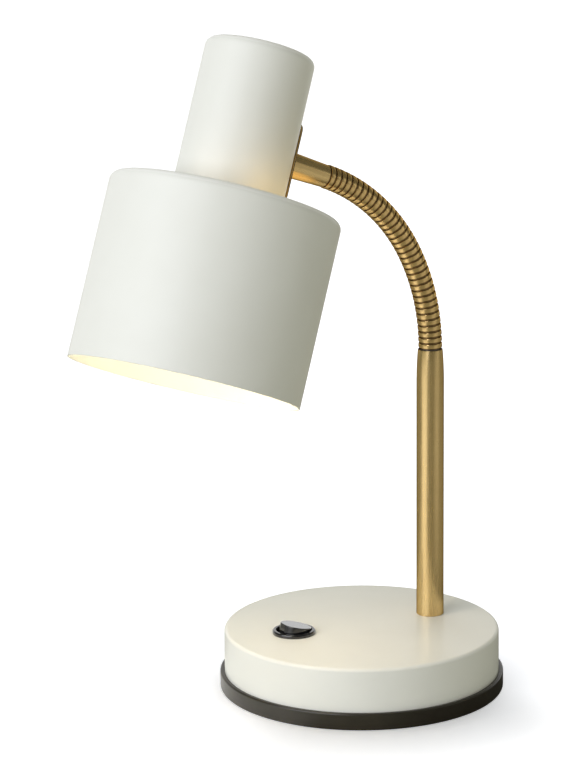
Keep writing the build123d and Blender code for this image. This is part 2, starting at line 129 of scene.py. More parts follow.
# Gooseneck winding; a turn's shoulder is in (distance from its groove, share of its rise) points
link_turns = 3
turn_shoulder = ((0, 0), (0.04, 0.7), (0.1, 0.86), (0.25, 0.95), (0.55, 0.99))
crest_radius = 6.45
groove_radius = 5.95
groove_half_width = 0.5
socket_radius = 6.03
turn_segments = 72

# Head
head_roll = radians(8.8)
drum_radius = 61.0
drum_height = 98.2
cup_radius = 29.0
cup_height = 79.4
sheet = 0.8
head_rounding = 4.5
rim_rounding = 0.3
arm_rise = 26.4
arm_height = drum_height + arm_rise
ring_wall = 1.2
ring_flange = 6.0
ring_height = 12.0
ring_flange_rounding = 0.4
ring_edge_rounding = 0.3
cup_bore = cup_radius - sheet
head_top = drum_height + cup_height

# Bulb
cap_foot = 112.1
globe_centre = 82.1
globe_radius = 22.5
globe_end = radians(40)
glass_wall = 1.0
bulb_neck_radius = 8.2
bulb_neck_straight = 5.0


# Places

def place(origin, x_axis=(1, 0, 0), z_axis=(0, 0, 1)):
    """Matrix of a frame from its origin in millimetres, its X axis and its Z axis."""
    x, z = Vector(x_axis).normalized(), Vector(z_axis).normalized()
    y = z.cross(x)
    o = Vector(origin) * MM
    return Matrix([[x[i], y[i], z[i], o[i]] for i in range(3)] + [[0, 0, 0, 1]])


def arm_place(distance):
    """Frame square to the arm, this far along it from the post's top, its X axis along +Y."""
    on_first = min(distance, first_length)
    on_second = min(max(distance - first_length, 0), neck_length - first_length)
    on_straight = max(distance - neck_length, 0)
    bend = on_first / first_radius
    turn = bend + on_second / second_radius
    x = post_offset - first_radius * (1 - cos(bend))
    x -= second_radius * (cos(bend) - cos(turn)) + on_straight * sin(turn)
    z = post_top + first_radius * sin(bend) + min(distance, 0)
    z += second_radius * (sin(turn) - sin(bend)) + on_straight * cos(turn)
    return place((x, 0, z), (0, 1, 0), (-sin(turn), 0, cos(turn)))


def head_place():
    """Frame at the centre of the drum's rim, X towards the arm, Z up the shade's axis."""
    cup_side = arm_place(neck_length + ferrule_length + plate_thickness + seat_gap)
    along = cup_side.col[2].to_3d()
    lean = first_angle + second_angle
    axis = Vector((cos(lean) * cos(head_roll), sin(head_roll), sin(lean) * cos(head_roll)))
    centre = cup_side.translation / MM + along * cup_radius - axis * arm_height
    return place(centre, -along, axis)


base = place((0, 0, 0))
post_foot = place((post_offset, 0, shell_top))
switch_seat = place((*switch_place, shell_top))
inlet = place((0, 0, inlet_height), (0, 1, 0), (1, 0, 0))
head = head_place()
arm_centre = head @ Vector((0, 0, arm_height * MM)) / MM
arm_hole = place(arm_centre, head.col[1].to_3d(), head.col[0].to_3d())
plate_seat = arm_hole @ Matrix.Translation((0, 0, (cup_radius + seat_gap) * MM))


# Meshes

crease_angle = radians(32)
on_axis = 1e-6


def rounded(corners, steps):
    """Closed outline through (radius, height, rounding) corners, each rounded by an arc."""
    outline = []
    for here, before, after in zip(corners, corners[-1:] + corners[:-1], corners[1:] + corners[:1]):
        point = Vector(here[:2])
        if here[2] == 0:
            outline.append(tuple(point))
            continue
        back = (Vector(before[:2]) - point).normalized()
        ahead = (Vector(after[:2]) - point).normalized()
        half = acos(max(-1, min(1, back.dot(ahead)))) / 2
        middle = point + (back + ahead).normalized() * (here[2] / sin(half))
        start = point + back * (here[2] / tan(half)) - middle
        end = point + ahead * (here[2] / tan(half)) - middle
        sweep = atan2(start.x * end.y - start.y * end.x, start.dot(end))
        for step in range(steps + 1):
            turn = sweep * step / steps
            x = middle.x + start.x * cos(turn) - start.y * sin(turn)
            y = middle.y + start.x * sin(turn) + start.y * cos(turn)
            outline.append((x, y))
    return outline


def new_object(name, data, where=None):
    """Object in the scene for a mesh, a lamp or a camera, at a place."""
    obj = bpy.data.objects.new(name, data)
    bpy.context.scene.collection.objects.link(obj)
    if where is not None:
        obj.matrix_world = where
    return obj


def mesh_object(name, build, where=None):
    """Object for a mesh that was built up, at a place."""
    mesh = bpy.data.meshes.new(name)
    build.to_mesh(mesh)
    build.free()
    return new_object(name, mesh, where)


def lathe(name, outline, where, segments):
    """Closed solid of revolution about a place's Z axis, from an outline in millimetres."""
    build = bmesh.new()
    rings = []
    for radius, height in outline:
        if radius < on_axis:
            rings.append([build.verts.new((0, 0, height * MM))] * segments)
            continue
        ring = []
        for k in range(segments):
            turn = 2 * pi * k / segments
            ring.append(build.verts.new((radius * MM * cos(turn), radius * MM * sin(turn), height * MM)))
        rings.append(ring)
    for ring, following in zip(rings, rings[1:] + rings[:1]):
        for k in range(segments):
            corners = [ring[k], ring[(k + 1) % segments], following[(k + 1) % segments], following[k]]
            corners = list(dict.fromkeys(corners))
            if len(corners) > 2:
                build.faces.new(corners)
    bmesh.ops.recalc_face_normals(build, faces=build.faces)
    return mesh_object(name, build, where)


def turned(name, where, corners, steps, segments):
    """Solid of revolution from (radius, height, rounding) corners."""
    return lathe(name, rounded(corners, steps), where, segments)


def rod(name, radius, start, end, where):
    """Round solid along a place's Z axis, used to drill a hole."""
    return lathe(name, [(0, start), (radius, start), (radius, end), (0, end)], where, segments=48)


def slab(name, width, length, rounding, thickness, bevel, where):
    """Flat plate with round corners and bevelled edges, standing on a place."""
    build = bmesh.new()
    rings = []
    for inset, height in ((bevel, 0), (0, bevel), (0, thickness - bevel), (bevel, thickness)):
        x, y = width / 2 - inset, length / 2 - inset
        corners = [(sx * x, sy * y, rounding - inset) for sx, sy in ((1, 1), (-1, 1), (-1, -1), (1, -1))]
        outline = rounded(corners, steps=8)
        rings.append([build.verts.new((u * MM, v * MM, height * MM)) for u, v in outline])
    for ring, following in zip(rings, rings[1:]):
        for k in range(len(ring)):
            build.faces.new((ring[k - 1], ring[k], following[k], following[k - 1]))
    build.faces.new(rings[0])
    build.faces.new(rings[-1])
    bmesh.ops.recalc_face_normals(build, faces=build.faces)
    return mesh_object(name, build, where)


def drill(obj, cutters):
    """Cut the cutters' solids out of a piece and remove them."""
    for cutter in cutters:
        cut = obj.modifiers.new("cut", "BOOLEAN")
        cut.operation = "DIFFERENCE"
        cut.solver = "EXACT"
        cut.object = cutter
    bpy.context.view_layer.update()
    mesh = bpy.data.meshes.new_from_object(obj.evaluated_get(bpy.context.evaluated_depsgraph_get()))
    obj.modifiers.clear()
    obj.data = mesh
    for cutter in cutters:
        bpy.data.objects.remove(cutter)


def smooth(obj):
    """Smooth shading with creases at sharp edges, and normals that follow the large faces."""
    mesh = obj.data
    mesh.polygons.foreach_set("use_smooth", [True] * len(mesh.polygons))
    mesh.set_sharp_from_angle(angle=crease_angle)
    weighted = obj.modifiers.new("normals", "WEIGHTED_NORMAL")
    weighted.keep_sharp = True


def dress(obj, material, body, slot, *stands_for):
    """Give a finished piece its material and body, and hide the nodes that it stands for."""
    smooth(obj)
    obj.data.materials.clear()
    obj.data.materials.append(material)
    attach(obj, body)
    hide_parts(*stands_for)


def second_material(obj, material, chosen):
    """Give a second material to the faces for which the test holds."""
    obj.data.materials.append(material)
    for face in obj.data.polygons:
        face.material_index = 1 if chosen(face) else 0


# Materials

class Tree:
    """The node tree of a material or a world."""

    def __init__(self, owner):
        owner.use_nodes = True
        self.tree = owner.node_tree

    def node(self, kind, **values):
        """New node; values go to its inputs of that name, or else to its settings."""
        made = self.tree.nodes.new(kind)
        for key, value in values.items():
            if key in made.inputs:
                made.inputs[key].default_value = value
            else:
                setattr(made, key, value)
        return made

    def link(self, source, target):
        self.tree.links.new(source, target)

    def feed(self, target, value):
        """Link a socket to an input, or set the input to a number or a colour."""
        if isinstance(value, bpy.types.NodeSocket):
            self.link(value, target)
        else:
            target.default_value = (*value, 1) if isinstance(value, tuple) else value

    def span(self, value, source, target):
        """Smooth step of a value from one range, (start, end), to another."""
        made = self.node("ShaderNodeMapRange", interpolation_type="SMOOTHSTEP")
        limits = ("From Min", "From Max", "To Min", "To Max")
        for socket, limit in zip(limits, (*source, *target)):
            made.inputs[socket].default_value = limit
        self.link(value, made.inputs["Value"])
        return made.outputs["Result"]

    def vector(self, operation, value):
        """Node that does one operation on a vector."""
        made = self.node("ShaderNodeVectorMath", operation=operation)
        self.link(value, made.inputs[0])
        return made

    def along(self, value, direction, start, end):
        """How far a vector reaches in a direction: 0 up to the start, 1 from the end on."""
        dot = self.vector("DOT_PRODUCT", value)
        dot.inputs[1].default_value = direction
        return self.span(dot.outputs["Value"], (start, end), (0.0, 1.0))

    def math(self, operation, first, second):
        """Result of one operation on two sockets or numbers."""
        made = self.node("ShaderNodeMath", operation=operation)
        self.feed(made.inputs[0], first)
        self.feed(made.inputs[1], second)
        return made.outputs["Value"]

    def mix(self, factor, low, high):
        """Mix of two colours, as sockets or values, by a factor socket."""
        made = self.node("ShaderNodeMix", data_type="RGBA")
        self.link(factor, made.inputs["Factor"])
        self.feed(made.inputs[6], low)
        self.feed(made.inputs[7], high)
        return made.outputs[2]


class Shader(Tree):
    """A node material with a Principled shader, built up by named steps."""

    def __init__(self, name, **sockets):
        self.material = bpy.data.materials.new(name)
        super().__init__(self.material)
        self.shader = self.tree.nodes["Principled BSDF"]
        for socket, value in sockets.items():
            self.shader.inputs[socket.replace("_", " ")].default_value = value

    def coords(self, stretch=(1, 1, 1), attribute=None):
        """Coordinates in metres, stretched per axis, from the object or from a mesh attribute."""
        mapping = self.node("ShaderNodeMapping")
        mapping.inputs["Scale"].default_value = stretch
        if attribute:
            source = self.node("ShaderNodeAttribute", attribute_name=attribute).outputs["Vector"]
        else:
            source = self.node("ShaderNodeTexCoord").outputs["Object"]
        self.link(source, mapping.inputs["Vector"])
        return mapping.outputs["Vector"]

    def noise(self, vector, scale, detail=3.0, roughness=0.55):
        made = self.node("ShaderNodeTexNoise", Scale=scale, Detail=detail, Roughness=roughness)
        self.link(vector, made.inputs["Vector"])
        return made.outputs["Fac"]

    def ramp(self, factor, low, high, bounds=(0.3, 0.7)):
        """Blend of two colours, or of two grey levels, over a stretch of a factor."""
        made = self.node("ShaderNodeValToRGB")
        for stop, position, colour in zip(made.color_ramp.elements, bounds, (low, high)):
            stop.position = position
            stop.color = (*colour, 1) if hasattr(colour, "__len__") else (colour, colour, colour, 1)
        self.link(factor, made.inputs["Fac"])
        return made.outputs["Color"]

    def surface(self, socket, source):
        """Link a colour or a grey level to one of the shader's inputs."""
        self.link(source, self.shader.inputs[socket])

    def bump(self, heights):
        """Surface relief from (height socket, strength, distance in millimetres) layers."""
        last = None
        for height, strength, distance in heights:
            made = self.node("ShaderNodeBump", Strength=strength, Distance=distance * MM)
            self.link(height, made.inputs["Height"])
            if last:
                self.link(last, made.inputs["Normal"])
            last = made.outputs["Normal"]
        self.surface("Normal", last)


def paint_material(name, pale, deep, roughness):
    """Satin powder coat: a faint orange peel and slow drifts of tone."""
    made = Shader(name, Specular_IOR_Level=0.2)
    drift = made.noise(made.coords(), scale=28.0, detail=2.0)
    peel = made.noise(made.coords(), scale=620.0, detail=2.0, roughness=0.4)
    grit = made.noise(made.coords(), scale=2600.0, detail=1.0)
    made.surface("Base Color", made.ramp(drift, deep, pale))
    made.surface("Roughness", made.ramp(grit, roughness - 0.05, roughness + 0.05))
    made.bump([(peel, 0.1, 0.12), (grit, 0.06, 0.03)])
    return made.material


def brass_material(name, light, dark, roughness, stretch=(1, 1, 1), attribute=None, groove=None):
    """Brushed brass: fine streaks, slight tarnish, and painted shade in the grooves that the mesh marks."""
    made = Shader(name, Metallic=1.0, Specular_Tint=(0.3, 0.22, 0.14, 1))
    streaks = made.noise(made.coords(stretch, attribute), scale=1500.0, roughness=0.6)
    tarnish = made.noise(made.coords(attribute=attribute), scale=90.0, detail=4.0, roughness=0.6)
    worn = made.ramp(tarnish, 0.0, 0.35, bounds=(0.45, 0.75))
    colour = made.mix(worn, light, made.ramp(streaks, dark, light))
    if groove:
        # Deeper in the grooves the colour darkens: painted shade.
        depth = made.node("ShaderNodeAttribute", attribute_name=groove).outputs["Fac"]
        groove_shade_colour = (0.2, 0.12, 0.052)
        colour = made.mix(made.ramp(depth, 0.0, 0.95, bounds=(0.25, 0.9)), colour, groove_shade_colour)
    made.surface("Base Color", colour)
    made.surface("Roughness", made.ramp(streaks, roughness - 0.06, roughness + 0.08))
    made.bump([(streaks, 0.08, 0.02)])
    return made.material


def moulded_material(name, colour, worn, roughness, grain_scale, relief, **sockets):
    """Moulded rubber or plastic: fine grain, a little dust or wear in the colour."""
    made = Shader(name, **sockets)
    grain = made.noise(made.coords(), scale=grain_scale, detail=2.0)
    dust = made.noise(made.coords(), scale=60.0, detail=4.0, roughness=0.65)
    made.surface("Base Color", made.ramp(dust, colour, worn, bounds=(0.45, 0.8)))
    made.surface("Roughness", made.ramp(grain, roughness - 0.05, roughness + 0.06))
    made.bump([(grain, relief, 0.05)])
    return made.material


def metal_material(name, colour, shade, roughness, grain_scale, metallic=1.0, relief=0.06):
    """Plain metal, plated or cast: blotches of tone, fine grain in gloss and relief."""
    made = Shader(name, Metallic=metallic)
    blotch = made.noise(made.coords(), scale=grain_scale / 8, detail=4.0)
    grain = made.noise(made.coords(), scale=grain_scale)
    made.surface("Base Color", made.ramp(blotch, shade, colour))
    made.surface("Roughness", made.ramp(grain, roughness - 0.08, roughness + 0.1))
    made.bump([(grain, relief, 0.05)])
    return made.material


def glow_material(name, strength):
    """Opal glass, lit from within, a little uneven."""
    made = Shader(name, Roughness=0.25)
    cloud = made.noise(made.coords(), scale=70.0)
    made.surface("Base Color", made.ramp(cloud, (0.92, 0.9, 0.84), (0.96, 0.95, 0.9)))
    made.surface("Emission Color", made.ramp(cloud, (0.97, 0.85, 0.6), (0.97, 0.88, 0.67)))
    made.shader.inputs["Emission Strength"].default_value = strength
    return made.material


cream = paint_material(
    "cream_powder_coat", pale=(0.82, 0.817, 0.755), deep=(0.80, 0.795, 0.73), roughness=0.34
)
lining = paint_material("white_lining", pale=(0.88, 0.87, 0.82), deep=(0.86, 0.85, 0.79), roughness=0.5)
post_brass = brass_material(
    "brushed_brass", light=(0.8, 0.58, 0.27), dark=(0.6, 0.41, 0.17), roughness=0.28, stretch=(1, 1, 0.02)
)
neck_brass = brass_material(
    "wound_brass",
    light=(0.82, 0.57, 0.25),
    dark=(0.58, 0.38, 0.15),
    roughness=0.25,
    attribute="rest",
    groove="groove",
)
# Dark brass: painted shade at the post's top seam and along the plate's edges.
painted_shade_brass = brass_material(
    "brass_painted_shade", light=(0.15, 0.122, 0.105), dark=(0.09, 0.072, 0.062), roughness=0.4
)
rubber = moulded_material(
    "brown_black_rubber",
    colour=(0.022, 0.018, 0.011),
    worn=(0.032, 0.026, 0.017),
    roughness=0.33,
    grain_scale=1800.0,
    relief=0.1,
)
gloss_black = moulded_material(
    "gloss_black",
    colour=(0.008, 0.008, 0.009),
    worn=(0.012, 0.012, 0.013),
    roughness=0.1,
    grain_scale=900.0,
    relief=0.006,
    Coat_Weight=0.8,
    Coat_Roughness=0.04,
)
white_plastic = moulded_material(
    "white_plastic",
    colour=(0.78, 0.77, 0.72),
    worn=(0.72, 0.7, 0.63),
    roughness=0.45,
    grain_scale=1500.0,
    relief=0.05,
)
zinc = metal_material(
    "zinc_plate", colour=(0.62, 0.62, 0.6), shade=(0.52, 0.52, 0.5), roughness=0.34, grain_scale=1200.0
)
iron = metal_material(
    "cast_iron",
    colour=(0.11, 0.11, 0.115),
    shade=(0.07, 0.07, 0.072),
    roughness=0.6,
    grain_scale=700.0,
    metallic=0.8,
    relief=0.35,
)
aluminium = metal_material(
    "spun_aluminium", colour=(0.75, 0.75, 0.76), shade=(0.68, 0.68, 0.69), roughness=0.3, grain_scale=1400.0
)
glow = glow_material("opal_glow", strength=8.5)


# Base

def make_tray():
    """Foot ring and bottom plate in one, with its countersunk holes."""
    lip_radius = shell_radius + slip_gap
    corners = [
        (0, 0, 0),
        (tray_radius, 0, tray_foot_rounding),
        (tray_radius, tray_height, tray_rim_rounding),
        (lip_radius, tray_height, tray_lip_rounding),
        (lip_radius, tray_floor, 0),
        (0, tray_floor, 0),
    ]
    tray = turned("base_ring", base, corners, steps=8, segments=192)
    sink = [
        (0, -drill_reach),
        (sink_radius, -drill_reach),
        (sink_radius, sink_rim),
        (screw_hole, sink_depth),
        (screw_hole, drill_reach),
        (0, drill_reach),
    ]
    sinks = []
    for number in range(screw_count):
        angle = pi / 2 + 2 * pi * number / screw_count
        where = place((screw_circle * cos(angle), screw_circle * sin(angle), 0))
        sinks.append(lathe(f"countersink_{number}", sink, where, segments=32))
    drill(tray, sinks)
    dress(tray, rubber, "base", "dark_rubber", "base_tray")


def make_shell():
    """Painted drum of the base, with its holes for post, switch and lead."""
    bore = shell_radius - shell_wall
    ceiling = shell_top - shell_wall
    corners = [
        (bore, tray_floor, 0),
        (shell_radius, tray_floor, 0),
        (shell_radius, shell_top, shell_rounding),
        (0, shell_top, 0),
        (0, ceiling, 0),
        (bore, ceiling, 0),
    ]
    shell = turned("base_drum", base, corners, steps=12, segments=192)
    inside, outside = shell_radius - drill_reach, shell_radius + drill_reach
    holes = [
        rod("post_hole", post_hole, -drill_reach, drill_reach, post_foot),
        rod("switch_hole", switch_hole, -drill_reach, drill_reach, switch_seat),
        rod("inlet_hole", inlet_barrel + slip_gap, inside, outside, inlet),
    ]
    drill(shell, holes)
    dress(shell, cream, "base", "cream_paint", "base_shell")


def make_grommet():
    """Bush with two flanges, where the lead enters at the back."""
    outer_face = shell_radius + seat_gap
    lip = outer_face + inlet_flange
    root = inlet_inner_face - inlet_flange
    corners = [
        (inlet_bore, root, inlet_root_rounding),
        (inlet_flange_radius, root, inlet_root_rounding),
        (inlet_flange_radius, inlet_inner_face, inlet_seat_rounding),
        (inlet_barrel, inlet_inner_face, 0),
        (inlet_barrel, outer_face, 0),
        (inlet_flange_radius, outer_face, inlet_seat_rounding),
        (inlet_flange_radius, lip, inlet_lip_rounding),
        (inlet_bore, lip, inlet_mouth_rounding),
    ]
    grommet = turned("lead_grommet", inlet, corners, steps=6, segments=64)
    dress(grommet, gloss_black, "base", "dark_rubber", "inlet_grommet")


def make_post():
    """Brass tube that narrows in a curve to its top, with a seam under the gooseneck painted dark as shade.
    """
    height = post_top - shell_top
    seam_foot = height - seam_height
    narrowing = post_radius - post_top_radius
    outline = [(post_bore, 0), (post_radius - post_foot_bevel, 0), (post_radius, post_foot_bevel)]
    for step in range(post_taper_steps):
        share = step / post_taper_steps
        outline.append((post_radius - narrowing * share ** 2, height - post_taper * (1 - share)))
    outline += [(post_top_radius, seam_foot - seam_bevel), (seam_radius, seam_foot)]
    outline += [(seam_radius, height), (post_bore, height)]
    post = lathe("brass_post", outline, post_foot, segments=96)
    dress(post, post_brass, "base", "brass", "post")
    # The seam's faces take the dark brass as painted shade.
    second_material(post, painted_shade_brass, lambda face: face.center.z > (seam_foot - seam_bevel) * MM)


# Gooseneck

def ball(centre, radius, start, end, steps=8):
    """Outline of a ball on the axis, between two angles from its middle plane."""
    points = []
    for step in range(steps + 1):
        turn = start + (end - start) * step / steps
        points.append((max(radius * cos(turn), 0), centre + radius * sin(turn)))
    return points


def link_outline(length, with_socket, with_ball):
    """Half section of one link: a socket or flat end, the turns of the winding, a ball or flat end."""
    outline = [(0, 0), (groove_radius, 0)]
    if with_socket:
        outline = ball(0, socket_radius, pi / 2, asin(groove_half_width / socket_radius))
    pitch = length / link_turns
    rise = crest_radius - groove_radius
    for turn in range(link_turns):
        middle = pitch * (turn + 0.5)
        half = pitch / 2 - groove_half_width
        near = [(groove_radius + rise * up, middle - half + inset) for inset, up in turn_shoulder]
        far = [(radius, 2 * middle - height) for radius, height in reversed(near)]
        outline += near[1:] if turn == 0 and with_socket else near
        outline += [(crest_radius, middle)] + far
    if with_ball:
        return outline + ball(length, groove_radius, 0, pi / 2)
    return outline + [(groove_radius, length), (0, length)]


def make_gooseneck():
    """Wound tube in links that ride on their bodies; each has a ball in the next one's socket."""
    bodies = ["base"] + [f"link_{n:02d}" for n in range(2, link_count)] + ["head"]
    for number, body in enumerate(bodies):
        start = number * link_pitch - joint_gap / 2 if number else 0
        last = number == link_count - 1
        end = neck_length if last else (number + 1) * link_pitch - joint_gap / 2
        outline = link_outline(end - start, number > 0, not last)
        link = lathe(f"gooseneck_span_{number + 1:02d}", outline, None, turn_segments)
        rest = link.data.attributes.new("rest", "FLOAT_VECTOR", "POINT")
        groove = link.data.attributes.new("groove", "FLOAT", "POINT")
        for vertex in link.data.vertices:
            x, y, along = vertex.co / MM
            depth = (crest_radius - hypot(x, y)) / (crest_radius - groove_radius)
            rest.data[vertex.index].vector = (x * MM, y * MM, (along + start) * MM)
            groove.data[vertex.index].value = depth
            vertex.co = arm_place(along + start) @ Vector((x * MM, y * MM, 0))
        dress(link, neck_brass, body, "brass", f"gooseneck_link_{number + 1:02d}")


# Head

def make_ferrule():
    """Plain tapered sleeve between the gooseneck and the plate."""
    corners = [
        (ferrule_tip_bore, 0, 0),
        (ferrule_tip_radius, 0, ferrule_tip_rounding),
        (ferrule_root_radius, ferrule_length, ferrule_root_rounding),
        (arm_nipple_hole, ferrule_length, 0),
    ]
    ferrule = turned("brass_ferrule", arm_place(neck_length), corners, steps=5, segments=96)
    dress(ferrule, post_brass, "head", "brass", "arm_ferrule")


def make_plate():
    """Flat strip against the cup, brass on its faces, its edge painted dark as shade."""
    plate = slab(
        "strap_plate", plate_width, plate_length, plate_rounding, plate_thickness, plate_bevel, plate_seat
    )
    drill(plate, [rod("plate_hole", arm_nipple_hole, -drill_reach, drill_reach, plate_seat)])
    dress(plate, post_brass, "head", "brass", "neck_plate")
    # The plate's edges take the dark brass as painted shade.
    second_material(plate, painted_shade_brass, lambda face: abs(face.normal.z) <= 0.5)


def line_inside(obj, wall_radius, ceiling):
    """Give the inner faces of a painted shell the white lining."""

    def inner(face):
        across = hypot(face.center.x, face.center.y)
        return across < wall_radius * MM and face.center.z < ceiling * MM

    second_material(obj, lining, inner)


def make_drum():
    """Wide painted drum, open below, with a hole for the cup above."""
    bore = drum_radius - sheet
    ceiling = drum_height - sheet
    corners = [
        (bore, 0, rim_rounding),
        (drum_radius, 0, rim_rounding),
        (drum_radius, drum_height, head_rounding),
        (cup_bore, drum_height, 0),
        (cup_bore, ceiling, 0),
        (bore, ceiling, head_rounding - sheet),
    ]
    drum = turned("drum_shade", head, corners, steps=10, segments=192)
    dress(drum, cream, "head", "cream_paint", "shade_drum")
    line_inside(drum, drum_radius - sheet / 2, drum_height - sheet / 2)


def make_cup():
    """Narrow painted cup above the drum, closed at its top, drilled for the arm."""
    ceiling = head_top - sheet
    corners = [
        (cup_radius, drum_height, 0),
        (cup_radius, head_top, head_rounding),
        (0, head_top, 0),
        (0, ceiling, 0),
        (cup_bore, ceiling, head_rounding - sheet),
        (cup_bore, drum_height, 0),
    ]
    cup = turned("cup_shade", head, corners, steps=10, segments=160)
    hole = rod("cup_hole", arm_nipple_hole, cup_radius - drill_reach, cup_radius + drill_reach, arm_hole)
    drill(cup, [hole])
    dress(cup, cream, "head", "cream_paint", "neck_cup")
    line_inside(cup, cup_radius - sheet / 2, head_top - sheet / 2)


def make_joining_ring():
    """Angle ring under the drum's top that reaches up into the cup."""
    ceiling = drum_height - sheet
    radius = cup_bore - seat_gap
    bore = radius - ring_wall
    corners = [
        (bore, ceiling - ring_wall, ring_flange_rounding),
        (cup_radius + ring_flange, ceiling - ring_wall, ring_flange_rounding),
        (cup_radius + ring_flange, ceiling, 0),
        (radius, ceiling, 0),
        (radius, ceiling + ring_height, ring_edge_rounding),
        (bore, ceiling + ring_height, ring_edge_rounding),
    ]
    ring = turned("inner_ring", head, corners, steps=5, segments=128)
    dress(ring, zinc, "head", "steel", "joining_ring")


def bulb_side(inset):
    """Outline of the bulb's glass, this far inside its outer face: globe, shoulder and neck."""
    points = ball(globe_centre, globe_radius - inset, -pi / 2, globe_end, steps=24)
    globe = Vector(points[-1])
    neck = Vector((bulb_neck_radius - inset, cap_foot - bulb_neck_straight))
    leaving = Vector((-sin(globe_end), cos(globe_end)))
    arriving = Vector((0, 1))
    pull = (neck - globe).length
    steps = 10
    for step in range(1, steps + 1):
        t = step / steps
        near_globe = (2 * t ** 3 - 3 * t ** 2 + 1) * globe + (t ** 3 - 2 * t ** 2 + t) * pull * leaving
        near_neck = (3 * t ** 2 - 2 * t ** 3) * neck + (t ** 3 - t ** 2) * pull * arriving
        points.append(tuple(near_globe + near_neck))
    return points + [(bulb_neck_radius - inset, cap_foot)]


def make_bulb():
    """Opal globe with its neck, one closed wall of glass that ends in the cap."""
    outline = bulb_side(0) + bulb_side(glass_wall)[::-1]
    bulb = lathe("opal_bulb", outline, head, segments=96)
    dress(bulb, glow, "head", "opal_glass", "bulb_glass")


make_tray()
make_shell()
make_grommet()
make_post()
make_gooseneck()
make_ferrule()
make_plate()
make_drum()
make_cup()
make_joining_ring()
make_bulb()


# Solids of the frame that show as they are

finishes = {
    "brass": post_brass,
    "black_plastic": gloss_black,
    "white_plastic": white_plastic,
    "cast_iron": iron,
    "steel": zinc,
    "aluminium": aluminium,
}
for part in frame["record"]["subparts"]:
    node = nodes[part["node"]]
    if not node.hide_render:
        smooth(node)
        node.data.materials.clear()
        node.data.materials.append(finishes[part["material_slot"]])


# Stage: places and distances in metres, directions named as the photograph shows them

behind = (0.4695, 0.8829, 0)
left = (-0.882, 0.471, 0)
right = (0.882, -0.471, 0)
front = (-0.25, -0.968, 0)
key_side = (-0.983, -0.182, 0)
far_side = (0.477, -0.879, 0)
lamp_middle = (0, 0, 0.18)

floor_radius = 12.0
close_by = (0.1, 0.25)
further_off = (0.15, 0.4)
shadow_aside = (0.08, 0.13)
shadow_aside_white = 0.56
shadow_ahead = (0.08, 0.18)
shadow_ahead_white = 0.4
mirror_white = 0.8
far_side_share = 0.3
paper_seen = (0.86, 0.87, 1.0)
paper_bounced = (0.8, 0.8, 0.74)
# Paper as reflections see it, and its painted shadow close to the base on the right
paper_mirrored = (0.7, 0.68, 0.62)
paper_shaded = (0.14, 0.135, 0.12)
bounce = 0.18
fill_colour = (0.99, 1.0, 0.83, 1)
fill = 0.28
fill_mirrored = 0.13

leak_colour = (1.0, 0.66, 0.24)


def floor_tone(made, rays, heading, close):
    """Colour of the paper; in reflections a painted shadow makes it dark close to the base on the right."""
    shade = made.math("MULTIPLY", close, made.along(heading, right, start=0.0, end=0.6))
    mirrored = made.mix(shade, paper_mirrored, paper_shaded)
    tone = made.mix(rays["Is Glossy Ray"], paper_bounced, mirrored)
    return made.mix(rays["Is Camera Ray"], tone, paper_seen)


def mirrored_white(made, spot, heading, reach, close):
    """White that reflections see: a backdrop far behind, and painted light towards the key, close by on the
    left and faint opposite.
    """
    backdrop = made.along(spot, behind, start=0.7, end=1.7)
    # Towards the key, close by on the left and faintly opposite, this white is painted light.
    lit = made.math("MAXIMUM", backdrop, made.along(heading, key_side, start=0.82, end=0.98))
    painted_light_left = made.math("MULTIPLY", close, made.along(heading, left, start=0.8, end=0.97))
    lit = made.math("MAXIMUM", lit, painted_light_left)
    painted_light_opposite = made.math("MULTIPLY", made.along(heading, far_side, start=0.9, end=0.99), far_side_share)
    painted_light_opposite = made.math("MULTIPLY", painted_light_opposite, made.span(reach, further_off, (0.0, 1.0)))
    return made.math("MULTIPLY", made.math("MAXIMUM", lit, painted_light_opposite), mirror_white)


def seen_white(made, heading, reach):
    """White that the eye sees, lowered round the base into a painted contact shadow, deeper and longer in
    front.
    """
    aside = made.span(reach, shadow_aside, (shadow_aside_white, 1.0))
    ahead = made.span(reach, shadow_ahead, (shadow_ahead_white, 1.0))
    facing = made.along(heading, front, start=0.35, end=0.85)
    dip = made.math("MULTIPLY", facing, made.math("SUBTRACT", aside, ahead))
    return made.math("SUBTRACT", aside, dip)


def floor():
    """Pale paper floor that is white to the eye and takes the lamp's soft shadow."""
    build = bmesh.new()
    bmesh.ops.create_circle(build, cap_ends=True, segments=96, radius=floor_radius)
    obj = mesh_object("floor", build)
    material = bpy.data.materials.new("pale_floor")
    made = Tree(material)
    made.tree.nodes.clear()
    rays = made.node("ShaderNodeLightPath").outputs
    spot = made.node("ShaderNodeTexCoord").outputs["Object"]
    heading = made.vector("NORMALIZE", spot).outputs["Vector"]
    reach = made.vector("LENGTH", spot).outputs["Value"]
    close = made.span(reach, close_by, (1.0, 0.0))
    paper = made.node("ShaderNodeBsdfDiffuse")
    made.link(floor_tone(made, rays, heading, close), paper.inputs["Color"])
    mirrored = mirrored_white(made, spot, heading, reach, close)
    mirrored = made.math("MULTIPLY", rays["Is Glossy Ray"], mirrored)
    seen = made.math("MULTIPLY", rays["Is Camera Ray"], seen_white(made, heading, reach))
    bounced = made.math("MULTIPLY", rays["Is Diffuse Ray"], bounce)
    veil = made.node("ShaderNodeEmission")
    made.link(made.math("ADD", made.math("ADD", seen, mirrored), bounced), veil.inputs["Strength"])
    both = made.node("ShaderNodeAddShader")
    made.link(paper.outputs[0], both.inputs[0])
    made.link(veil.outputs[0], both.inputs[1])
    made.link(both.outputs[0], made.node("ShaderNodeOutputMaterial").inputs["Surface"])
    obj.data.materials.append(material)
    return obj


